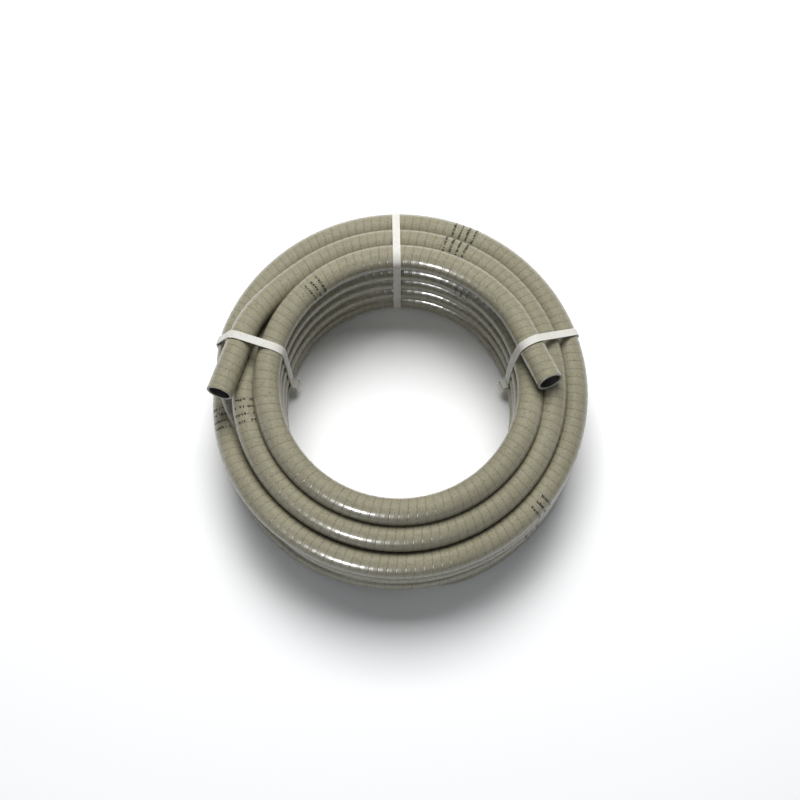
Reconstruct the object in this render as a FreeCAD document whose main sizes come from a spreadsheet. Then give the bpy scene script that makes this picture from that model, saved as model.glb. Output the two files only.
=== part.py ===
import FreeCAD, Part
import math
import os

from FreeCAD import Placement, Rotation, Vector

# A coil of spiral-reinforced waste hose, lying flat and held by three nylon cable ties.
# Origin: at the surface it rests on, under the middle of the whole part. +Z up, +Y to the tie that
# stands alone.

SIZES = [
    ("hose_outer", 31.0, "outside diameter of the hose"),
    ("hose_bore", 25.0, "inside diameter of the hose"),
    ("coil_radius", 154.0, "coil axis to the middle of the innermost column of turns"),
    ("column_step", 27.0, "one column of turns to the next, nested in each other's valleys"),
    ("layers", 5.0, "turns in the innermost column"),
    ("right_length", 80.0, "straight stretch of hose at the right free end"),
    ("left_length", 84.0, "straight stretch of hose at the left free end"),
    ("mouth_room", 30.0, "room past each mouth for a spigot, where the turn below dips"),
    ("strap_width", 9.0, "cable tie strap"),
    ("strap_thick", 1.4, "cable tie strap"),
    ("head_width", 13.0, "cable tie head, across the strap"),
    ("head_length", 10.0, "cable tie head, along the strap"),
    ("head_height", 8.0, "cable tie head, standing off the coil"),
    ("slot_gap", 0.3, "clearance on each face of the strap inside the head"),
    ("pawl_length", 5.0, "pawl, hinge to tip"),
    ("pawl_thick", 1.2, "pawl arm"),
    ("hinge_radius", 0.7, "pawl's hinge barrel"),
    ("hinge_gap", 0.06, "running clearance round the hinge barrel"),
    ("pawl_swing", 14.0, "degrees of room that the head leaves above the pawl"),
    ("tail_stub", 3.5, "cut end of the strap beyond the head"),
    ("tail_bend", 1.5, "inside radius where the strap turns into the head"),
]

doc = FreeCAD.newDocument("hose_coil")
sheet = doc.addObject("Spreadsheet::Sheet", "Sizes")
for row, (alias, value, meaning) in enumerate(SIZES, start=1):
    sheet.set("A%d" % row, alias)
    sheet.set("B%d" % row, str(value))
    sheet.set("C%d" % row, meaning)
    sheet.setAlias("B%d" % row, alias)
doc.recompute()
size = {alias: float(sheet.get(alias)) for alias, _, _ in SIZES}

HOSE_R = size["hose_outer"] / 2
LAYERS = int(size["layers"])
COLUMNS = [size["coil_radius"] + i * size["column_step"] for i in range(3)]
# Each column stands half a hose lower than the one inside it.
TOPS = [(LAYERS - 0.5 - 0.5 * i) * size["hose_outer"] for i in range(3)]
STRAP = size["strap_thick"]

made = []


def add_body(name):
    """An empty PartDesign body, which becomes the node of that name."""
    body = doc.addObject("PartDesign::Body", name)
    body.Label = name
    made.append(body)
    return body


def add_sketch(body, name, role, edges):
    """A sketch of the given edges on one of the body's own origin planes."""
    sketch = body.newObject("Sketcher::SketchObject", name)
    plane = [p for p in body.Origin.OriginFeatures if p.Role == role][0]
    sketch.AttachmentSupport = [(plane, "")]
    sketch.MapMode = "FlatFace"
    sketch.addGeometry(edges, False)
    return sketch


def closed_lines(points):
    """The straight edges of a closed outline through the points."""
    corners = [Vector(x, y, 0) for x, y in points]
    return [Part.LineSegment(a, b) for a, b in zip(corners, corners[1:] + corners[:1])]


def arc(centre, radius, start, end):
    """A counter-clockwise arc in a sketch, with its angles in degrees."""
    circle = Part.Circle(Vector(centre[0], centre[1], 0), Vector(0, 0, 1), radius)
    return Part.ArcOfCircle(circle, math.radians(start), math.radians(end))


def on_circle(centre, radius, angle):
    """The point of a circle at an angle in degrees."""
    a = math.radians(angle)
    return Vector(centre[0] + radius * math.cos(a), centre[1] + radius * math.sin(a), 0)


def tangent_angle(first, second):
    """The angle of the outward normal on the line that touches two equal circles, taken clockwise."""
    return math.degrees(math.atan2(second[0] - first[0], -(second[1] - first[1])))


# An arc shorter than this many degrees is left out of a band.
LEAST_ARC = 0.01


def band(centres, radius, start_angle, end_angle):
    """The edges of a line pulled tight clockwise over equal circles, from one angle to another."""
    edges = []
    arrive = start_angle
    for i, centre in enumerate(centres):
        last = i == len(centres) - 1
        leave = end_angle if last else tangent_angle(centre, centres[i + 1])
        while leave > arrive:
            leave -= 360
        if arrive - leave > LEAST_ARC:
            edges.append(arc(centre, radius, leave, arrive))
        if not last:
            edges.append(Part.LineSegment(on_circle(centre, radius, leave),
                                          on_circle(centres[i + 1], radius, leave)))
        arrive = leave
    return edges


def mouth_point(angle, column, beside, above):
    """The middle of a mouth, at an angle in degrees round the coil. It lies beside a column of
    turns, further out, and above that column's top turn, both counted in hose diameters."""
    a = math.radians(angle)
    radius = COLUMNS[column] + beside * size["hose_outer"]
    return Vector(radius * math.cos(a), radius * math.sin(a), TOPS[column] + above * size["hose_outer"])


# The free ends. Each lies straight: a mouth, and the direction that the hose points in there.
FREE_ENDS = {
    "hose_end_right": {"mouth": mouth_point(-2.14801, 0, 0.626511, 0.532258), "heading": -67.0,
                       "climb": 9.5, "length": "right_length"},
    "hose_end_left": {"mouth": mouth_point(184.98885, 1, 0.838198, 0.806452), "heading": -107.6,
                      "climb": 6.0, "length": "left_length"},
}


def end_direction(end):
    """The unit vector that a free end's mouth looks along."""
    heading, climb = math.radians(end["heading"]), math.radians(end["climb"])
    return Vector(math.cos(heading) * math.cos(climb),
                  math.sin(heading) * math.cos(climb),
                  math.sin(climb))


def end_placement(end):
    """Where a free end's tube starts, turned so that its own Z runs to the mouth."""
    along = end_direction(end)
    start = end["mouth"] - along * size[end["length"]]
    return Placement(start, Rotation(Vector(0, 0, 1), along))


def make_free_end(name, end):
    """A straight hollow stretch of hose with an open mouth."""
    body = add_body(name)
    rings = [Part.Circle(Vector(0, 0, 0), Vector(0, 0, 1), HOSE_R),
             Part.Circle(Vector(0, 0, 0), Vector(0, 0, 1), size["hose_bore"] / 2)]
    sketch = add_sketch(body, name + "_rings", "XY_Plane", rings)
    pad = body.newObject("PartDesign::Pad", name + "_wall")
    pad.Profile = sketch
    pad.setExpression("Length", "Sizes." + end["length"])
    body.Placement = end_placement(end)
    return body


# Each tie stands in an upright plane: where that plane meets the middle column of turns, which way
# it runs from the head's side across the coil, the column beside the head, the layer of that column
# that the head lies on, and how far the head's middle is above that turn's middle, in hose diameters.
TIES = {
    "top": {"at": 91.0, "heading": 271.0, "near": 2, "far": 0, "layer": 1, "above": 0.177419, "end": None},
    "right": {"at": 16.3, "heading": 25.0, "near": 0, "far": 2, "layer": 0, "above": 0.33871,
              "end": "hose_end_right"},
    "left": {"at": 165.3, "heading": 163.0, "near": 0, "far": 2, "layer": 0, "above": 0.209677,
             "end": "hose_end_left"},
}
# A hair of room between a strap and a free end.
CLEAR = 0.5
# The origin is under the middle of the whole part. The top tie's head and tail stand out at the
# back, so the coil's own axis is half of that in front of it.
COIL_AXIS = Vector(0, -(size["head_height"] + size["tail_stub"]) / 2, 0)


def tie_origin(tie):
    """The foot of a tie's plane on the middle column's circle."""
    a = math.radians(tie["at"])
    return Vector(COLUMNS[1] * math.cos(a), COLUMNS[1] * math.sin(a), 0)


def tie_axis(tie):
    """The level unit vector along a tie's plane, from its head across the coil."""
    a = math.radians(tie["heading"])
    return Vector(math.cos(a), math.sin(a), 0)


def tie_placement(tie):
    """A tie's own X runs from its head across the coil, and its Y across the strap."""
    return Placement(tie_origin(tie), Rotation(Vector(0, 0, 1), tie["heading"]))


def tie_x(tie, column):
    """How far along a tie's plane a column of turns is."""
    foot = tie_origin(tie)
    along = foot.dot(tie_axis(tie))
    reach = math.sqrt(along * along - foot.dot(foot) + COLUMNS[column] ** 2)
    return -along + math.copysign(reach, along)


def end_crossing(tie):
    """The circle that a strap is pulled over where a free end climbs under it, in the tie's X and Z."""
    end = FREE_ENDS[tie["end"]]
    across = Vector(-tie_axis(tie).y, tie_axis(tie).x, 0)
    along = end_direction(end)
    run = (tie_origin(tie) - end["mouth"]).dot(across) / along.dot(across)
    middle = end["mouth"] + along * run
    # The strap's own width meets the climbing hose that much higher at one edge.
    climb = math.radians(end["climb"])
    lift = size["strap_width"] / 2 * math.tan(climb) + HOSE_R * (1 / math.cos(climb) - 1) + CLEAR
    return (middle - tie_origin(tie)).dot(tie_axis(tie)), middle.z + lift


def strap_circles(tie):
    """The turns that a strap is pulled over, clockwise from the wall beside its head."""
    near, far = tie_x(tie, tie["near"]), tie_x(tie, tie["far"])
    tops = [(near, TOPS[tie["near"]]), (far, TOPS[tie["far"]])]
    if tie["end"]:
        tops.insert(1, end_crossing(tie))
    if tie["end"] == "hose_end_right":
        # The innermost turn has already gone down a layer where it passes under its own end.
        tops[0] = (near, TOPS[0] - size["hose_outer"])
    floor = HOSE_R + STRAP
    return tops + [(far, floor), (near, floor)]


# The head's own small sizes: the lip under the slot, the hinge above the slot and in from the
# coil, the way in that is cut back beside the coil, and the web between that and the hinge.
LIP = 2.0
HINGE_RISE = 1.3
HINGE_IN = 2.6
ENTRY = STRAP + size["tail_bend"] + 0.6
WEB = 0.4
# How far a cut runs past the face that it opens.
PAST = 1.0
# The pawl's own small sizes: how far its teeth reach below the slot's roof and how far above it
# their roots are, the first tooth in from the tip, one tooth to the next, the slope of each, and
# the neck beside the barrel with the step up to it.
TEETH = 3
TOOTH_REACH = 0.1
TOOTH_ROOT = 0.35
FIRST_TOOTH = 0.6
TOOTH_PITCH = 1.0
TOOTH_SLOPE = 0.5
NECK = 1.6
NECK_STEP = 0.1


def head_levels(tie):
    """The upright places in a tie's head: lower face, slot floor, slot roof, hinge and upper face."""
    middle = (tie["layer"] + 0.5 + tie["above"]) * size["hose_outer"]
    low = middle - size["head_length"] / 2
    slot_floor = low + LIP
    slot_roof = slot_floor + STRAP + 2 * size["slot_gap"]
    return low, slot_floor, slot_roof, slot_roof + HINGE_RISE, low + size["head_length"]


def head_wall(tie):
    """The face of the coil that a tie's head lies against, in the tie's own X."""
    return tie_x(tie, tie["near"]) - HOSE_R


def make_strap(name, tie):
    """One strap: out of the head's upper face, round the coil, and out through the head's slot."""
    circles = strap_circles(tie)
    wall = head_wall(tie)
    _, slot_floor, _, _, start = head_levels(tie)
    bend = size["tail_bend"]
    lower = slot_floor + size["slot_gap"]
    upper = lower + STRAP
    centre = (wall - STRAP - bend, lower - bend)
    tip = wall - size["head_height"] - size["tail_stub"]
    first, last = circles[0], circles[-1]
    edges = band(circles, HOSE_R, 180, -180) + band(circles, HOSE_R + STRAP, 180, -180)
    edges += [arc(centre, bend, 0, 90), arc(centre, bend + STRAP, 0, 90)]
    corners = [((wall, start), (wall, first[1])), ((wall - STRAP, start), (wall - STRAP, first[1])),
               ((wall - STRAP, start), (wall, start)),
               ((wall, last[1]), (wall, centre[1])), ((wall - STRAP, last[1]), (wall - STRAP, centre[1])),
               ((centre[0], upper), (tip, upper)), ((centre[0], lower), (tip, lower)),
               ((tip, lower), (tip, upper))]
    edges += [Part.LineSegment(Vector(a, b, 0), Vector(c, e, 0)) for (a, b), (c, e) in corners]
    body = add_body(name)
    add_pad(body, edges, "strap_width")
    body.Placement = tie_placement(tie)
    return body


def add_pad(body, edges, alias):
    """Pads a side view of a tie's piece to both sides of the tie's plane."""
    sketch = add_sketch(body, body.Name + "_side", "XZ_Plane", edges)
    pad = body.newObject("PartDesign::Pad", body.Name + "_pad")
    pad.Profile = sketch
    pad.Midplane = True
    pad.setExpression("Length", "Sizes." + alias)
    return pad


def make_head(name, tie):
    """One head: a block with a way in beside the coil, a slot right through, and room for its pawl."""
    wall = head_wall(tie)
    low, slot_floor, slot_roof, hinge_z, high = head_levels(tie)
    face = wall - size["head_height"]
    entry = wall - ENTRY
    body = add_body(name)
    add_pad(body, closed_lines([(wall, high), (face, high), (face, low), (entry, low),
                                (entry, slot_roof), (wall, slot_roof)]), "head_width")
    seat = size["hinge_radius"] + size["hinge_gap"]
    hinge_x = wall - HINGE_IN
    beyond = face - PAST
    roof = hinge_z + seat + (hinge_x - beyond) * math.tan(math.radians(size["pawl_swing"]))
    path = [(hinge_x, hinge_z + seat), (beyond, roof), (beyond, slot_floor), (entry + PAST, slot_floor),
            (entry + PAST, slot_roof), (entry - WEB, slot_roof), (entry - WEB, hinge_z - seat),
            (hinge_x, hinge_z - seat)]
    edges = closed_lines(path)[:-1] + [arc((hinge_x, hinge_z), seat, -90, 90)]
    sketch = add_sketch(body, name + "_channel", "XZ_Plane", edges)
    pocket = body.newObject("PartDesign::Pocket", name + "_slot")
    pocket.Profile = sketch
    pocket.Midplane = True
    pocket.setExpression("Length", "Sizes.strap_width + 2 * Sizes.slot_gap")
    body.Placement = tie_placement(tie)
    return body


def make_pawl(name, tie):
    """One pawl: a hinge barrel and an arm with teeth that point at the strap."""
    _, _, slot_roof, hinge_z, _ = head_levels(tie)
    x = head_wall(tie) - HINGE_IN
    barrel = size["hinge_radius"]
    tip = x - size["pawl_length"]
    tooth_low, tooth_high = slot_roof - TOOTH_REACH, slot_roof + TOOTH_ROOT
    path = [(x, hinge_z + barrel), (tip, hinge_z - barrel / 2 + size["pawl_thick"] / 2), (tip, tooth_high)]
    for i in range(TEETH):
        back = tip + FIRST_TOOTH + i * TOOTH_PITCH
        path += [(back, tooth_low), (back + TOOTH_SLOPE, tooth_high)]
    path += [(x - NECK, hinge_z - barrel + NECK_STEP), (x, hinge_z - barrel)]
    edges = closed_lines(path)[:-1] + [arc((x, hinge_z), barrel, -90, 90)]
    body = add_body(name)
    add_pad(body, edges, "strap_width - Sizes.slot_gap")
    body.Placement = tie_placement(tie)
    foot = tie_origin(tie) + tie_axis(tie) * x + COIL_AXIS
    print("%s hinge at %.3f %.3f %.3f mm, axis %.5f %.5f 0" % (
        name, foot.x, foot.y, hinge_z, -tie_axis(tie).y, tie_axis(tie).x))
    return body


# The valleys between neighbouring turns are filled up to this angle off the line between them.
VALLEY = 35.0


def coil_outline():
    """The coil's section: its outermost turns as scallops with filled valleys, and a flat foot."""
    inner = [(COLUMNS[0], HOSE_R + i * size["hose_outer"]) for i in range(LAYERS)]
    outer = [(COLUMNS[2], HOSE_R + i * size["hose_outer"]) for i in range(LAYERS - 1)]
    chain = inner + [(COLUMNS[1], TOPS[1])] + outer[::-1]
    edges = []
    arrive = 270.0
    for here, after in zip(chain, chain[1:] + [None]):
        leave = -90.0
        if after:
            heading = math.degrees(math.atan2(after[1] - here[1], after[0] - here[0]))
            leave = heading + VALLEY
            edges.append(Part.LineSegment(on_circle(here, HOSE_R, leave),
                                          on_circle(after, HOSE_R, heading + 180 - VALLEY)))
        edges.append(arc(here, HOSE_R, leave, arrive))
        if after:
            arrive = heading + 180 - VALLEY
    edges.append(Part.LineSegment(Vector(COLUMNS[2], 0, 0), Vector(COLUMNS[0], 0, 0)))
    return edges


def make_coil():
    """The coil as one ring, with a bed for each free end. The straps and heads press into it."""
    blank = doc.addObject("PartDesign::Body", "coil_blank")
    sketch = add_sketch(blank, "coil_section", "XZ_Plane", coil_outline())
    ring = blank.newObject("PartDesign::Revolution", "coil_ring")
    ring.Profile = sketch
    ring.ReferenceAxis = (sketch, ["V_Axis"])
    ring.Angle = 360
    beds = []
    for name, end in FREE_ENDS.items():
        bed = doc.addObject("Part::Cylinder", name + "_bed")
        bed.setExpression("Radius", "Sizes.hose_outer / 2")
        bed.setExpression("Height", "Sizes." + end["length"] + " + Sizes.mouth_room")
        bed.Placement = end_placement(end)
        beds.append(bed)
    tools = doc.addObject("Part::MultiFuse", "coil_beds")
    tools.Shapes = beds
    coil = doc.addObject("Part::Cut", "hose_coil")
    coil.Label = "hose_coil"
    coil.Base = blank
    coil.Tool = tools
    made.append(coil)


def check_and_write():
    """Stops on any failed object or shape, prints what each piece measures, and writes it."""
    for thing in doc.Objects:
        if "Invalid" in thing.State or "Error" in thing.State:
            raise RuntimeError("%s did not build: %s" % (thing.Name, thing.State))
    for thing in made:
        shape = thing.Shape
        if shape.isNull() or not shape.isValid() or len(shape.Solids) != 1:
            raise RuntimeError("%s is not one valid solid" % thing.Label)
    os.makedirs("parts", exist_ok=True)
    for thing in made:
        box = thing.Shape.optimalBoundingBox(True, False)
        print("%-18s %10.1f mm3  x %.1f..%.1f  y %.1f..%.1f  z %.1f..%.1f" % (
            thing.Label, thing.Shape.Volume, box.XMin, box.XMax, box.YMin, box.YMax, box.ZMin, box.ZMax))
        thing.Shape.exportStep("parts/%s.step" % thing.Label)
    wall_area = math.pi * (HOSE_R ** 2 - size["hose_bore"] ** 2 / 4)
    for name, end in FREE_ENDS.items():
        along = end_direction(end)
        half = end["mouth"] + COIL_AXIS - along * (size[end["length"]] / 2)
        print("%s half way %.6f %.6f %.6f mm, along %.9f %.9f %.9f" % (
            name, half.x, half.y, half.z, along.x, along.y, along.z))
        print("%s volume over section times length %.4f, straight" % (
            name, doc.getObject(name).Shape.Volume / (wall_area * size[end["length"]])))


for end_name, free_end in FREE_ENDS.items():
    make_free_end(end_name, free_end)
for tie_name, cable_tie in TIES.items():
    make_strap("tie_strap_" + tie_name, cable_tie)
    make_head("tie_head_" + tie_name, cable_tie)
    make_pawl("tie_pawl_" + tie_name, cable_tie)
make_coil()
for piece in made:
    piece.Placement = Placement(COIL_AXIS, Rotation()).multiply(piece.Placement)
doc.recompute()
check_and_write()
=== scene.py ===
# %% [markdown]
# # A tied coil of waste hose
# The object is one long, smooth, spiral-reinforced hose. It is wound into a ring that lies flat, its
# two open ends lie on top, and three nylon cable ties hold the turns together.
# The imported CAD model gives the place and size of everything. This lesson winds the real hose
# along its whole length, then gives the hose, the ink on it and the ties their finishes.

# %% Load the frame
import math

import bpy
import numpy as np
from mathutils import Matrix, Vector


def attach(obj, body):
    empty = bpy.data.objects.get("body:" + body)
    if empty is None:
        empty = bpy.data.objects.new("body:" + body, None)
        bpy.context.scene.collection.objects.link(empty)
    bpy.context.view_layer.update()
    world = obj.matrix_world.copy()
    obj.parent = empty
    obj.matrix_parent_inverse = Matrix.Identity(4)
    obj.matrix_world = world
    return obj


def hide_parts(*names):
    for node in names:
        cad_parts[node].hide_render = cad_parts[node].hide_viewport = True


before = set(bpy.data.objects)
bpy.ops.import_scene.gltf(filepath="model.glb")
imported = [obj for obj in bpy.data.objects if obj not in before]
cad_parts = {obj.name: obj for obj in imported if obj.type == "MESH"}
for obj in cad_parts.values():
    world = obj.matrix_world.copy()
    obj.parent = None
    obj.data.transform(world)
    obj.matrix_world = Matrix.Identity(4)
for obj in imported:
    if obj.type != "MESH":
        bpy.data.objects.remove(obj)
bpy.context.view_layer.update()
MM = 0.001

# %% Sizes of the hose, in metres
HOSE_D = 31 * MM
HOSE_R = HOSE_D / 2
BORE_R = 12.5 * MM
LAYER = HOSE_D
COLUMN_STEP = 27 * MM
INNER = 154 * MM
MIDDLE = INNER + COLUMN_STEP
OUTER = MIDDLE + COLUMN_STEP
SPIRAL_PITCH = 10 * MM
# The coil's own axis is a little in front of the origin, which is under the middle of the whole part.
COIL_AXIS = np.array([0, -5.75 * MM, 0])
print("columns of turns at", INNER, MIDDLE, OUTER)

# %% [markdown]
# ## Where each turn lies
# A coil is wound turn by turn, so its centreline is a list of slots, each a radius and a height,
# with a short slope from one slot to the next. The inner column is five turns high. The other two
# columns nest half a layer lower, because the turns of each lie in the valleys of its neighbour.

# %% The slots, in the order in which the hose fills them
FLOOR = HOSE_R
NESTED = FLOOR + LAYER / 2
SLOTS = np.array(
    [(INNER, FLOOR + LAYER * i) for i in range(4, -1, -1)]
    + [(MIDDLE, NESTED), (OUTER, FLOOR), (OUTER, FLOOR + LAYER)]
    + [(MIDDLE, NESTED + LAYER), (OUTER, FLOOR + 2 * LAYER), (OUTER, FLOOR + 3 * LAYER)]
    + [(MIDDLE, NESTED + 2 * LAYER), (MIDDLE, NESTED + 3 * LAYER)]
)
print(len(SLOTS), "slots")

# %% Where the slopes between the slots are
# Each slope is a little further back round the ring than the one before, so that no two meet.
SLOPE_HALF = 20.0
FIRST_SLOPE = 358.0
SLOPE_STEPS = [342.0] * 7 + [344.0] * 3 + [342.0]
SLOPES = FIRST_SLOPE + np.concatenate([[0.0], np.cumsum(SLOPE_STEPS)])
print("slopes at", SLOPES % 360)


# %% A soft step
def soft_step(t):
    """Three t squared less two t cubed, with t held between 0 and 1."""
    t = np.clip(t, 0.0, 1.0)
    return t * t * (3 - 2 * t)


def slot_place(angle):
    """(radius, height) at each angle wound so far: the first slot plus every slope passed."""
    passed = soft_step((angle[:, None] - SLOPES[None, :] + SLOPE_HALF) / (2 * SLOPE_HALF))
    return SLOTS[0] + passed @ np.diff(SLOTS, axis=0)


# %% [markdown]
# ## The route as one spline
# A hose bends smoothly, so the route is one NURBS spline. A spline of order 3 runs inside its
# control points, by the cosine of half the step on a circle, so the turns' control points stand
# that much further out. The two free ends are straight and lie over the turns below them.

# %% The turns' control points
STEP = 15.0
FIRST_ANGLE = 60.0
LAST_ANGLE = 4440.0
WOUND = np.arange(FIRST_ANGLE, LAST_ANGLE + STEP / 2, STEP)
RADIUS, HEIGHT = slot_place(WOUND).T
# The outer turns sag outwards at the front, the lowest two most, and not at all beside the ties.
SAG = 2 * MM
LOW_SAG = 3 * MM
NO_LOW_SAG = 2.5 * LAYER
FRONT = np.clip(-np.sin(np.radians(WOUND)), 0.0, 1.0) ** 2
OUTERMOST = np.clip((RADIUS - MIDDLE) / COLUMN_STEP, 0.0, 1.0)
LOW = soft_step((NO_LOW_SAG - HEIGHT) / LAYER)
RADIUS = RADIUS + (SAG + LOW_SAG * LOW) * OUTERMOST * FRONT
# No turn is perfectly round: each wanders by less than half a millimetre.
WANDER = 0.4 * MM * np.sin(np.radians(WOUND) * 1.37 + 0.8)
OUT = (RADIUS + WANDER) / math.cos(math.radians(STEP / 2))
TURNS = np.stack([OUT * np.cos(np.radians(WOUND)), OUT * np.sin(np.radians(WOUND)), HEIGHT], axis=1)
print(len(TURNS), "points over", round((LAST_ANGLE - FIRST_ANGLE) / 360, 2), "turns")


# %% The free ends' control points
def free_end(mouth, heading, climb, length, count=5):
    """Points from a mouth straight back: the mouth less a share of the length along the way it looks."""
    heading = math.radians(heading)
    climb = math.radians(climb)
    along = np.array([math.cos(heading) * math.cos(climb), math.sin(heading) * math.cos(climb),
                      math.sin(climb)])
    return np.array(mouth) * MM - np.linspace(0, length * MM, count)[:, None] * along


def ring_point(angle, radius, height):
    """A point by its angle round the coil's axis, its radius and its height in millimetres."""
    a = math.radians(angle)
    return [radius * math.cos(a) * MM, radius * math.sin(a) * MM, height * MM]


RIGHT_END = free_end((173.3, -6.5, 156.0), -67.0, 9.5, 80)
LEFT_END = free_end((-206.2, -18.0, 149.0), -107.6, 6.0, 84)
RIGHT_LEAD = np.array([ring_point(34, 157.6, 140.6), ring_point(47, 156.0, 139.5)])
LEFT_LEAD = np.array([ring_point(133, 183.3, 124.6), ring_point(145, 187.0, 128.6),
                      ring_point(154, 190.2, 135.4)])
ROUTE = np.concatenate([RIGHT_END, RIGHT_LEAD, TURNS, LEFT_LEAD, LEFT_END[::-1]]) + COIL_AXIS
print("route:", len(ROUTE), "control points")


# %% Read the smooth centreline back from the spline
def spline_line(name, points, resolution):
    """The points that Blender puts on a NURBS spline of order 3 with these control points."""
    curve = bpy.data.curves.new(name, "CURVE")
    curve.dimensions = "3D"
    spline = curve.splines.new("NURBS")
    spline.points.add(len(points) - 1)
    weighted = np.concatenate([points, np.ones((len(points), 1))], axis=1)
    spline.points.foreach_set("co", weighted.ravel())
    spline.order_u = 3
    spline.use_endpoint_u = True
    spline.resolution_u = resolution
    holder = bpy.data.objects.new(name, curve)
    bpy.context.scene.collection.objects.link(holder)
    mesh = bpy.data.meshes.new_from_object(holder)
    line = np.empty(len(mesh.vertices) * 3)
    mesh.vertices.foreach_get("co", line)
    bpy.data.objects.remove(holder)
    bpy.data.curves.remove(curve)
    bpy.data.meshes.remove(mesh)
    return line.reshape(-1, 3)


LINE = spline_line("hose_route", ROUTE, 13)
LENGTHS = np.concatenate([[0.0], np.cumsum(np.linalg.norm(np.diff(LINE, axis=0), axis=1))])
HOSE_LENGTH = float(LENGTHS[-1])
print(len(LINE), "points on the line, hose length", round(HOSE_LENGTH, 3), "m")


# %% [markdown]
# ## A frame of reference along the hose
# To put a skin round a line, each point needs two directions across it. The hose is nowhere
# steep, so one can always be level and point away from the coil's middle, and the other is
# then the hose's own upward side.

# %% Directions across the line
def line_frames(line):
    """Unit tangents by central differences, the level side as tangent x up, and side x tangent."""
    along = np.gradient(line, axis=0)
    along /= np.linalg.norm(along, axis=1)[:, None]
    side = np.cross(along, [0.0, 0.0, 1.0])
    side /= np.linalg.norm(side, axis=1)[:, None]
    return along, side, np.cross(side, along)


ALONG, SIDE, UPWARD = line_frames(LINE)
print("steepest slope, degrees:", round(float(np.degrees(np.arcsin(np.abs(ALONG[:, 2]).max()))), 1))


# %% Make a mesh from a grid of points
def grid_faces(rows, columns):
    """Quads between neighbouring rows of a grid whose columns close round, facing outwards."""
    row, column = np.meshgrid(np.arange(rows - 1), np.arange(columns), indexing="ij")
    after = (column + 1) % columns
    quads = [row * columns + column, row * columns + after, (row + 1) * columns + after,
             (row + 1) * columns + column]
    return np.stack(quads, axis=-1).reshape(-1, 4)


def new_piece(name, points, faces):
    """A smooth mesh object at the origin, from points and faces, that rides on the bundle."""
    mesh = bpy.data.meshes.new(name)
    mesh.from_pydata(points.tolist(), [], faces)
    mesh.shade_smooth()
    mesh.update()
    piece = bpy.data.objects.new(name, mesh)
    bpy.context.scene.collection.objects.link(piece)
    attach(piece, "bundle")
    return piece


# %% [markdown]
# ## The hose's skin
# The skin is a round profile carried along the line. At each mouth it turns over a soft rim and
# runs back inside as the bore, which a disc closes well out of sight. So the rows of the grid go:
# closing disc, bore, rim, the whole outside, rim, bore, closing disc.

# %% Rows of the skin: a place along the line and a radius
AROUND = 22
ROW_STEP = SPIRAL_PITCH / 3
RELIEF = 0.2 * MM
RIM = 0.7 * MM
BORE_DEPTH = 95 * MM
BORE_ROWS = 26


def mouth_rows(sign):
    """Bore and rim rows as (distance inside the mouth, radius): the rim is two quarter circles."""
    depth = np.linspace(BORE_DEPTH, RIM, BORE_ROWS)
    bore = np.stack([depth, np.full(BORE_ROWS, BORE_R)], axis=1)
    turn = np.radians([30.0, 60.0, 90.0])
    inner = np.stack([RIM * (1 - np.sin(turn)), BORE_R + RIM * (1 - np.cos(turn))], axis=1)
    outer = np.stack([RIM * (1 - np.sin(turn[::-1])), HOSE_R - RIM * (1 - np.cos(turn[::-1]))], axis=1)
    rows = np.concatenate([bore, inner, outer])
    return rows if sign > 0 else rows[::-1]


def along_line(distance):
    """Centre, side and upward directions at distances along the line, by linear interpolation."""
    parts = [LINE, SIDE, UPWARD]
    return [np.stack([np.interp(distance, LENGTHS, part[:, i]) for i in range(3)], axis=1)
            for part in parts]


START, FINISH = mouth_rows(1), mouth_rows(-1)
OUTSIDE = np.arange(ROW_STEP, HOSE_LENGTH - ROW_STEP / 2, ROW_STEP)
ROW_PLACE = np.concatenate([START[:, 0], OUTSIDE, HOSE_LENGTH - FINISH[:, 0]])
ROW_RADIUS = np.concatenate([START[:, 1], np.full(len(OUTSIDE), HOSE_R), FINISH[:, 1]])
print(len(ROW_PLACE), "rows,", len(ROW_PLACE) * AROUND * 2, "triangles")


# %% Carry the profile along the line
def hose_surface(distance, radius, turn):
    """Centre plus radius times (cos turn x upward + sin turn x side): rows by columns of points."""
    centre, side, upward = along_line(distance)
    across = (np.cos(turn)[None, :, None] * upward[:, None, :]
              + np.sin(turn)[None, :, None] * side[:, None, :])
    return centre[:, None, :] + radius[:, None, None] * across


TURN = np.linspace(0, 2 * math.pi, AROUND, endpoint=False)
SKIN = hose_surface(ROW_PLACE, ROW_RADIUS, TURN)

# %% Sink the surface a little along each weld
# The weld is a helix, so its phase is the distance over the pitch plus the share of a turn.
PHASE = ROW_PLACE[:, None] / SPIRAL_PITCH + TURN[None, :] / (2 * math.pi)
SINK = RELIEF * (0.5 + 0.5 * np.cos(2 * math.pi * PHASE)) * (ROW_RADIUS == HOSE_R)[:, None]
CENTRE = along_line(ROW_PLACE)[0][:, None, :]
SKIN += (CENTRE - SKIN) / ROW_RADIUS[:, None, None] * SINK[:, :, None]
print("relief along the welds:", RELIEF)

# %% The grid of the skin, closed at both bores
ROWS = len(SKIN)
ENDS = SKIN[[0, -1]].mean(axis=1)
SKIN_POINTS = np.concatenate([SKIN.reshape(-1, 3), ENDS])
FIRST_CAP = [[ROWS * AROUND, (i + 1) % AROUND, i] for i in range(AROUND)]
LAST_ROW = (ROWS - 1) * AROUND
LAST_CAP = [[ROWS * AROUND + 1, LAST_ROW + i, LAST_ROW + (i + 1) % AROUND] for i in range(AROUND)]
# The grid's quads face outwards when the columns run against the way the line goes.
SKIN_FACES = grid_faces(ROWS, AROUND).tolist() + FIRST_CAP + LAST_CAP
print(len(SKIN_POINTS), "points in the skin")

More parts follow.
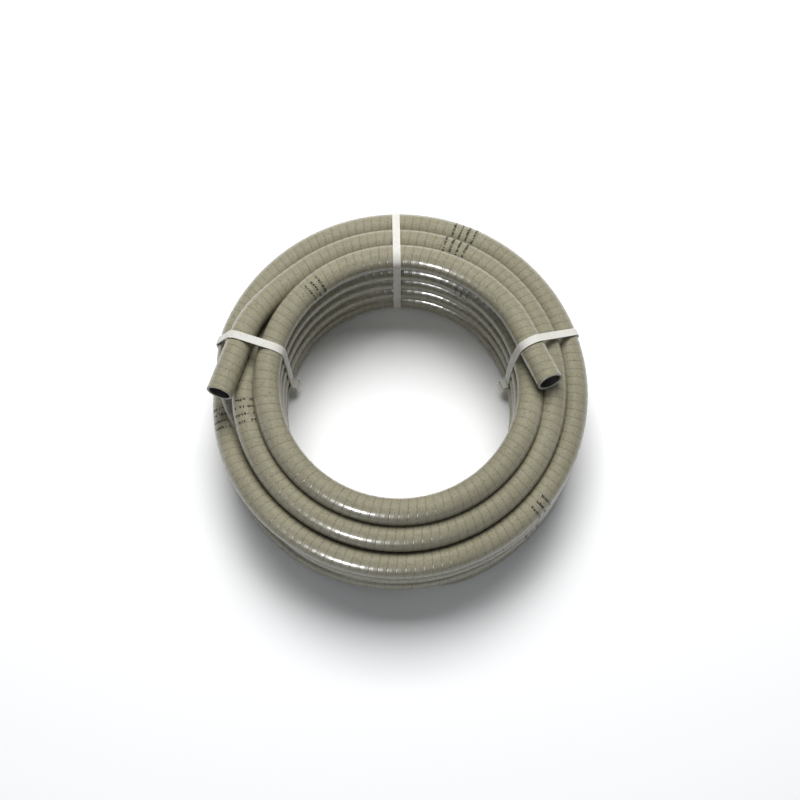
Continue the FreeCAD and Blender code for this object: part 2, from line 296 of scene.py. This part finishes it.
# %% The hose as a piece, with its own map
hose = new_piece("waste_hose", SKIN_POINTS, SKIN_FACES)
FACE_ROW = np.arange(ROWS - 1).repeat(AROUND)
FACE_ROW = np.concatenate([FACE_ROW, np.zeros(AROUND, int), np.full(AROUND, ROWS - 2)])
FROM_END = np.minimum(FACE_ROW, ROWS - 2 - FACE_ROW)
RIM_ROWS = len(START) - BORE_ROWS
# 0 is the outside, 1 is the bore, whose near-black colour is painted shade, and 2 is the cut rim.
OUTSIDE_OR_RIM = np.where(FROM_END < BORE_ROWS + RIM_ROWS - 1, 2, 0)
FINISH_OF_FACE = np.where(FROM_END < BORE_ROWS - 1, 1, OUTSIDE_OR_RIM)


def map_skin(piece):
    """A UV map: turns round the hose across, metres along it up, so a pattern can follow the hose."""
    count = len(piece.data.loops)
    corner = np.empty(count, dtype=np.int32)
    piece.data.loops.foreach_get("vertex_index", corner)
    column = np.where(corner < ROWS * AROUND, corner % AROUND, 0) / AROUND
    place = ROW_PLACE[np.minimum(corner // AROUND, ROWS - 1)]
    quads = column[:(ROWS - 1) * AROUND * 4].reshape(-1, 4)
    # A quad that closes the round has its far corners a whole turn on.
    quads[:, 1:3] += (quads[:, 1:3] < quads[:, 0:1])
    uv = np.stack([column, place], axis=1).astype(np.float32)
    layer = piece.data.uv_layers.new(name="hose_map")
    layer.data.foreach_set("uv", uv.ravel())


map_skin(hose)
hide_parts("hose_coil", "hose_end_right", "hose_end_left")
print("hose skin:", len(hose.data.polygons), "faces")

# %% [markdown]
# ## Ink on the hose
# A maker prints its hose with a line of small black marks. Here they are a plain code of bars of
# different lengths, which says nothing. Each bar is a thin patch that lies on the skin, so it
# bends with the hose.

# %% One bar of ink
INK_LIFT = 0.1 * MM
BAR_ROWS = 4
BAR_COLUMNS = 3


def ink_bar(place, length, turn, width):
    """A patch of the hose's surface between two places along it and two turns round it."""
    distance = np.linspace(place, place + length, BAR_ROWS)
    turns = np.linspace(turn - width / 2, turn + width / 2, BAR_COLUMNS)
    return hose_surface(distance, np.full(BAR_ROWS, HOSE_R + INK_LIFT), turns).reshape(-1, 3)


def patch_faces(rows, columns):
    """Quads between neighbouring rows and columns of an open grid."""
    row, column = np.meshgrid(np.arange(rows - 1), np.arange(columns - 1), indexing="ij")
    first = row * columns + column
    return np.stack([first, first + 1, first + columns + 1, first + columns], axis=-1).reshape(-1, 4)


# %% Groups of bars where the printed side shows
# Each group is the angle wound so far, and the side that it is on: 0 is up and 90 is outwards.
# The last number is how many rows run round the hose, one after another along it.
INK_GROUPS = [
    (128.0, -30.0, 3), (414.0, -60.0, 3), (3664.0, 15.0, 4), (4384.0, 5.0, 4),
    (3426.0, 20.0, 4), (4147.0, 5.0, 4), (3556.0, 50.0, 3), (2472.0, 65.0, 3),
]
ROW_GAP = 8.5 * MM
ROW_SPREAD = 1.5
WOUND_LINE = np.unwrap(np.arctan2(LINE[:, 1] - COIL_AXIS[1], LINE[:, 0]))
# The line starts at the right mouth, about two degrees short of angle 0.
MOUTH_ANGLE = -2.0
WOUND_LINE = np.degrees(WOUND_LINE - WOUND_LINE[0]) + MOUTH_ANGLE
SHOWN = 0.8
random_bars = np.random.default_rng(7)
patches = []
for wound, side_angle, rows in INK_GROUPS:
    start = float(np.interp(wound, WOUND_LINE, LENGTHS))
    for row in range(rows):
        turn = math.radians(side_angle) - ROW_SPREAD / 2
        while turn < math.radians(side_angle) + ROW_SPREAD / 2:
            width = random_bars.uniform(0.05, 0.15)
            bar = random_bars.uniform(1.4, 3.2) * MM
            if random_bars.uniform() < SHOWN:
                patches.append(ink_bar(start + row * ROW_GAP, bar, turn, width))
            turn += width + random_bars.uniform(0.03, 0.09)
single = patch_faces(BAR_ROWS, BAR_COLUMNS)
ink_faces = np.concatenate([single + i * BAR_ROWS * BAR_COLUMNS for i in range(len(patches))])
ink = new_piece("hose_ink", np.concatenate(patches), ink_faces.tolist())
print(len(patches), "bars of ink")

# %% [markdown]
# ## Shared effects
# Moulded and extruded plastic is never one even colour. One node group gives cloudy variation and
# fine scuffs from Object coordinates, and another gives the hose's spiral from its own map.

# %% Helpers for node trees
def add_node(tree, kind, **settings):
    """A node of a kind, with its properties set."""
    made = tree.nodes.new(kind)
    for key, value in settings.items():
        setattr(made, key, value)
    return made


def maths(tree, operation, first, second=None, third=None):
    """A Math node's output, from sockets or plain numbers."""
    made = add_node(tree, "ShaderNodeMath", operation=operation)
    for i, value in enumerate((first, second, third)):
        if value is None:
            continue
        if isinstance(value, (int, float)):
            made.inputs[i].default_value = value
        else:
            tree.links.new(value, made.inputs[i])
    return made.outputs[0]


def new_group(name, inputs, outputs):
    """An empty node group with named sockets, and its input and output nodes."""
    tree = bpy.data.node_groups.new(name, "ShaderNodeTree")
    for label, kind, value in inputs:
        socket = tree.interface.new_socket(label, in_out="INPUT", socket_type=kind)
        if value is not None:
            socket.default_value = value
    for label, kind in outputs:
        tree.interface.new_socket(label, in_out="OUTPUT", socket_type=kind)
    return tree, tree.nodes.new("NodeGroupInput"), tree.nodes.new("NodeGroupOutput")


# %% The group for clouds and scuffs
def make_wear():
    """Slow clouds and fine grain, with scuffs and specks raised to a power so that few show."""
    tree, given, result = new_group(
        "plastic_wear",
        [("Vector", "NodeSocketVector", None), ("Cloud Scale", "NodeSocketFloat", 9.0),
         ("Grain Scale", "NodeSocketFloat", 900.0)],
        [("Clouds", "NodeSocketFloat"), ("Scuffs", "NodeSocketFloat"), ("Grain", "NodeSocketFloat"),
         ("Specks", "NodeSocketFloat")])
    outputs = []
    for label, detail in (("Cloud Scale", 4.0), ("Grain Scale", 2.0)):
        noise = add_node(tree, "ShaderNodeTexNoise")
        noise.inputs["Detail"].default_value = detail
        tree.links.new(given.outputs["Vector"], noise.inputs["Vector"])
        tree.links.new(given.outputs[label], noise.inputs["Scale"])
        outputs.append(noise.outputs["Fac"])
    scuff = add_node(tree, "ShaderNodeTexNoise")
    scuff.inputs["Detail"].default_value = 6.0
    scuff.inputs["Distortion"].default_value = 1.5
    tree.links.new(given.outputs["Vector"], scuff.inputs["Vector"])
    tree.links.new(maths(tree, "MULTIPLY", given.outputs["Cloud Scale"], 6.0), scuff.inputs["Scale"])
    few = maths(tree, "POWER", maths(tree, "MULTIPLY", scuff.outputs["Fac"], 1.45), 7.0)
    speck = add_node(tree, "ShaderNodeTexNoise")
    speck.inputs["Detail"].default_value = 3.0
    tree.links.new(given.outputs["Vector"], speck.inputs["Vector"])
    tree.links.new(maths(tree, "MULTIPLY", given.outputs["Grain Scale"], 0.4), speck.inputs["Scale"])
    dark = maths(tree, "POWER", maths(tree, "MULTIPLY", speck.outputs["Fac"], 1.5), 8.0)
    tree.links.new(maths(tree, "MINIMUM", dark, 1.0), result.inputs["Specks"])
    tree.links.new(outputs[0], result.inputs["Clouds"])
    tree.links.new(maths(tree, "MINIMUM", few, 1.0), result.inputs["Scuffs"])
    tree.links.new(outputs[1], result.inputs["Grain"])
    return tree


WEAR = make_wear()
print("group:", WEAR.name)


# %% The group for the spiral
def make_spiral():
    """Phase = metres / pitch + turns. Height is a round lobe with a thin groove at each weld."""
    tree, given, result = new_group(
        "hose_spiral",
        [("Map", "NodeSocketVector", None), ("Pitch", "NodeSocketFloat", SPIRAL_PITCH)],
        [("Height", "NodeSocketFloat"), ("Web", "NodeSocketFloat")])
    parts = add_node(tree, "ShaderNodeSeparateXYZ")
    tree.links.new(given.outputs["Map"], parts.inputs[0])
    wound = maths(tree, "DIVIDE", parts.outputs["Y"], given.outputs["Pitch"])
    phase = maths(tree, "FRACT", maths(tree, "ADD", wound, parts.outputs["X"]))
    centred = maths(tree, "ABSOLUTE", maths(tree, "SUBTRACT", maths(tree, "MULTIPLY", phase, 2.0), 1.0))
    lobe = maths(tree, "SUBTRACT", 1.0, maths(tree, "POWER", centred, 9.0))
    ripple = maths(tree, "COSINE", maths(tree, "MULTIPLY", phase, 4 * math.pi))
    height = maths(tree, "MULTIPLY_ADD", ripple, 0.12, lobe)
    tree.links.new(height, result.inputs["Height"])
    tree.links.new(maths(tree, "POWER", centred, 12.0), result.inputs["Web"])
    return tree


SPIRAL = make_spiral()
print("group:", SPIRAL.name)


# %% Start a material
def start_material(name, vector, cloud_scale, grain_scale):
    """A material with a Principled shader and the wear group. vector is Object or a UV map's name."""
    material = bpy.data.materials.new(name)
    material.use_nodes = True
    tree = material.node_tree
    shader = tree.nodes["Principled BSDF"]
    wear = add_node(tree, "ShaderNodeGroup", node_tree=WEAR)
    wear.inputs["Cloud Scale"].default_value = cloud_scale
    wear.inputs["Grain Scale"].default_value = grain_scale
    place = add_node(tree, "ShaderNodeTexCoord")
    tree.links.new(place.outputs[vector], wear.inputs["Vector"])
    return material, tree, shader, wear


def blend_colours(tree, amount, low, high):
    """A colour between two others. Each is a socket or (red, green, blue)."""
    made = add_node(tree, "ShaderNodeMix", data_type="RGBA")
    tree.links.new(amount, made.inputs["Factor"])
    for key, value in ((6, low), (7, high)):
        if isinstance(value, tuple):
            made.inputs[key].default_value = (*value, 1.0)
        else:
            tree.links.new(value, made.inputs[key])
    return made.outputs[2]


def add_bump(tree, shader, layers):
    """Bump nodes in a chain, one for each (height socket, distance in metres, strength)."""
    last = None
    for height, distance, strength in layers:
        bump = add_node(tree, "ShaderNodeBump")
        bump.inputs["Distance"].default_value = distance
        bump.inputs["Strength"].default_value = strength
        tree.links.new(height, bump.inputs["Height"])
        if last:
            tree.links.new(last, bump.inputs["Normal"])
        last = bump.outputs["Normal"]
    tree.links.new(last, shader.inputs["Normal"])


# %% [markdown]
# ## The finishes
# The hose is glossy soft PVC: a warm grey that is a little darker over each weld. A coat gives
# the hard highlight. The ties are nylon, which is milky, lets a little light in and is satin.

# %% The hose's material
def hose_material():
    """Grey from the wear clouds, darkened at the welds, with the spiral and grain as bump."""
    material, tree, shader, wear = start_material("gloss_grey_pvc", "Object", 11.0, 1400.0)
    own = add_node(tree, "ShaderNodeUVMap", uv_map="hose_map")
    spiral = add_node(tree, "ShaderNodeGroup", node_tree=SPIRAL)
    tree.links.new(own.outputs[0], spiral.inputs["Map"])
    spiral.inputs["Pitch"].default_value = SPIRAL_PITCH
    clouds = blend_colours(tree, wear.outputs["Clouds"], (0.205, 0.188, 0.125), (0.285, 0.262, 0.18))
    speckled = blend_colours(tree, maths(tree, "MULTIPLY", wear.outputs["Specks"], 0.55), clouds,
                             (0.075, 0.072, 0.055))
    welds = blend_colours(tree, maths(tree, "MULTIPLY", spiral.outputs["Web"], 0.6), speckled,
                          (0.07, 0.068, 0.055))
    scuffed = blend_colours(tree, maths(tree, "MULTIPLY", wear.outputs["Scuffs"], 0.15), welds,
                            (0.38, 0.37, 0.32))
    tree.links.new(scuffed, shader.inputs["Base Color"])
    rough = maths(tree, "MULTIPLY_ADD", wear.outputs["Clouds"], 0.12, 0.24)
    rough = maths(tree, "MULTIPLY_ADD", wear.outputs["Scuffs"], 0.2, rough)
    tree.links.new(rough, shader.inputs["Roughness"])
    shader.inputs["Coat Weight"].default_value = 0.5
    shader.inputs["Coat Roughness"].default_value = 0.14
    shader.inputs["IOR"].default_value = 1.52
    add_bump(tree, shader, [(spiral.outputs["Height"], 0.4 * MM, 0.6),
                            (wear.outputs["Grain"], 0.05 * MM, 0.3)])
    return material


# %% The bore's and the cut rim's material
def cut_material(name, low, high, rough_low):
    """Unpolished PVC, between two colours by the clouds, with grain as bump and no coat."""
    material, tree, shader, wear = start_material(name, "Object", 60.0, 1400.0)
    colour = blend_colours(tree, wear.outputs["Clouds"], low, high)
    tree.links.new(colour, shader.inputs["Base Color"])
    rough = maths(tree, "MULTIPLY_ADD", wear.outputs["Grain"], 0.25, rough_low)
    tree.links.new(rough, shader.inputs["Roughness"])
    add_bump(tree, shader, [(wear.outputs["Grain"], 0.08 * MM, 0.4)])
    return material


hose.data.materials.append(hose_material())
# The bore and its closing discs are the same grey PVC as the outside. Their near-black colour here is
# painted shade for the dark deep inside the hose.
hose.data.materials.append(
    cut_material("bore_pvc_painted_shade", (0.035, 0.034, 0.028), (0.06, 0.058, 0.046), 0.4))
hose.data.materials.append(
    cut_material("fresh_cut_pvc", (0.30, 0.29, 0.25), (0.42, 0.41, 0.36), 0.5))
hose.data.polygons.foreach_set("material_index", FINISH_OF_FACE.astype(np.int32))
print("hose finishes:", [material.name for material in hose.data.materials])


# %% The ink's material
def ink_material():
    """Black ink, worn thinner where the clouds are light."""
    material, tree, shader, wear = start_material("worn_black_ink", "Object", 160.0, 1800.0)
    colour = blend_colours(tree, wear.outputs["Clouds"], (0.010, 0.010, 0.011), (0.05, 0.048, 0.042))
    tree.links.new(colour, shader.inputs["Base Color"])
    rough = maths(tree, "MULTIPLY_ADD", wear.outputs["Grain"], 0.2, 0.38)
    tree.links.new(rough, shader.inputs["Roughness"])
    add_bump(tree, shader, [(wear.outputs["Grain"], 0.04 * MM, 0.3)])
    return material


ink.data.materials.append(ink_material())


# %% The ties' material
def nylon_material():
    """Milky nylon: warm white clouds, faint grey scuffs, and a fine moulded grain."""
    material, tree, shader, wear = start_material("milky_nylon", "Object", 45.0, 2600.0)
    clouds = blend_colours(tree, wear.outputs["Clouds"], (0.52, 0.505, 0.46), (0.64, 0.63, 0.585))
    scuffed = blend_colours(tree, maths(tree, "MULTIPLY", wear.outputs["Scuffs"], 0.35), clouds,
                            (0.36, 0.34, 0.29))
    tree.links.new(scuffed, shader.inputs["Base Color"])
    rough = maths(tree, "MULTIPLY_ADD", wear.outputs["Clouds"], 0.18, 0.34)
    tree.links.new(rough, shader.inputs["Roughness"])
    shader.inputs["Subsurface Weight"].default_value = 0.12
    shader.inputs["Subsurface Scale"].default_value = 0.002
    add_bump(tree, shader, [(wear.outputs["Grain"], 0.06 * MM, 0.35),
                            (wear.outputs["Clouds"], 0.2 * MM, 0.3)])
    return material


NYLON = nylon_material()
TIE_NODES = [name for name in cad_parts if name.startswith("tie_")]
for name in TIE_NODES:
    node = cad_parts[name]
    node.data.materials.clear()
    node.data.materials.append(NYLON)
print(len(TIE_NODES), "tie nodes in nylon")

# %% [markdown]
# ## The hose's length
# The hose's whole length along its line is printed.

print("declared", round(HOSE_LENGTH, 2), "m of hose")

# %% [markdown]
# ## Floor, light and camera
# A large soft lamp above and behind lights the tops of the turns and leaves their near sides darker.
# A small one in front lights nothing, and only shows in the gloss as broken highlights.

# %% The floor
FLOOR_HALF = 6.0
floor_mesh = bpy.data.meshes.new("floor")
corners = np.array([(-1, -1, 0), (1, -1, 0), (1, 1, 0), (-1, 1, 0)], dtype=float) * FLOOR_HALF
floor_mesh.from_pydata(corners.tolist(), [], [(0, 1, 2, 3)])
floor = bpy.data.objects.new("floor", floor_mesh)
bpy.context.scene.collection.objects.link(floor)
pale = bpy.data.materials.new("pale_floor")
pale.use_nodes = True
pale.node_tree.nodes["Principled BSDF"].inputs["Base Color"].default_value = (0.88, 0.88, 0.88, 1)
pale.node_tree.nodes["Principled BSDF"].inputs["Roughness"].default_value = 0.7
floor_mesh.materials.append(pale)


# %% The lights
def soft_lamp(name, place, target, side, power, gloss):
    """A square area lamp that looks at a point. It either lights or shows in the gloss."""
    data = bpy.data.lights.new(name, "AREA")
    data.size = side
    data.energy = power
    lamp = bpy.data.objects.new(name, data)
    bpy.context.scene.collection.objects.link(lamp)
    lamp.location = place
    lamp.rotation_euler = (Vector(target) - Vector(place)).to_track_quat("-Z", "Y").to_euler()
    lamp.visible_glossy = gloss
    lamp.visible_diffuse = not gloss
    return lamp


soft_lamp("overhead", (0, 1.15, 2.35), (0, 0, 0), 1.4, 92, False)
soft_lamp("glint", (-0.75, -1.8, 1.45), (0, 0, 0.1), 0.4, 55, True)
world = bpy.data.worlds.new("studio")
world.use_nodes = True
world.node_tree.nodes["Background"].inputs["Color"].default_value = (0.9, 0.95, 1, 1)
world.node_tree.nodes["Background"].inputs["Strength"].default_value = 0.24
bpy.context.scene.world = world

# %% The camera
camera_data = bpy.data.cameras.new("camera")
camera_data.sensor_width = 36.0
camera_data.lens = 55.9
camera = bpy.data.objects.new("camera", camera_data)
bpy.context.scene.collection.objects.link(camera)
camera.location = Vector((0.0012, -0.430, 1.513)) + Vector(COIL_AXIS)
camera.rotation_euler = (math.radians(16.5), 0, 0)
bpy.context.scene.camera = camera
bpy.context.scene.view_settings.view_transform = "Standard"
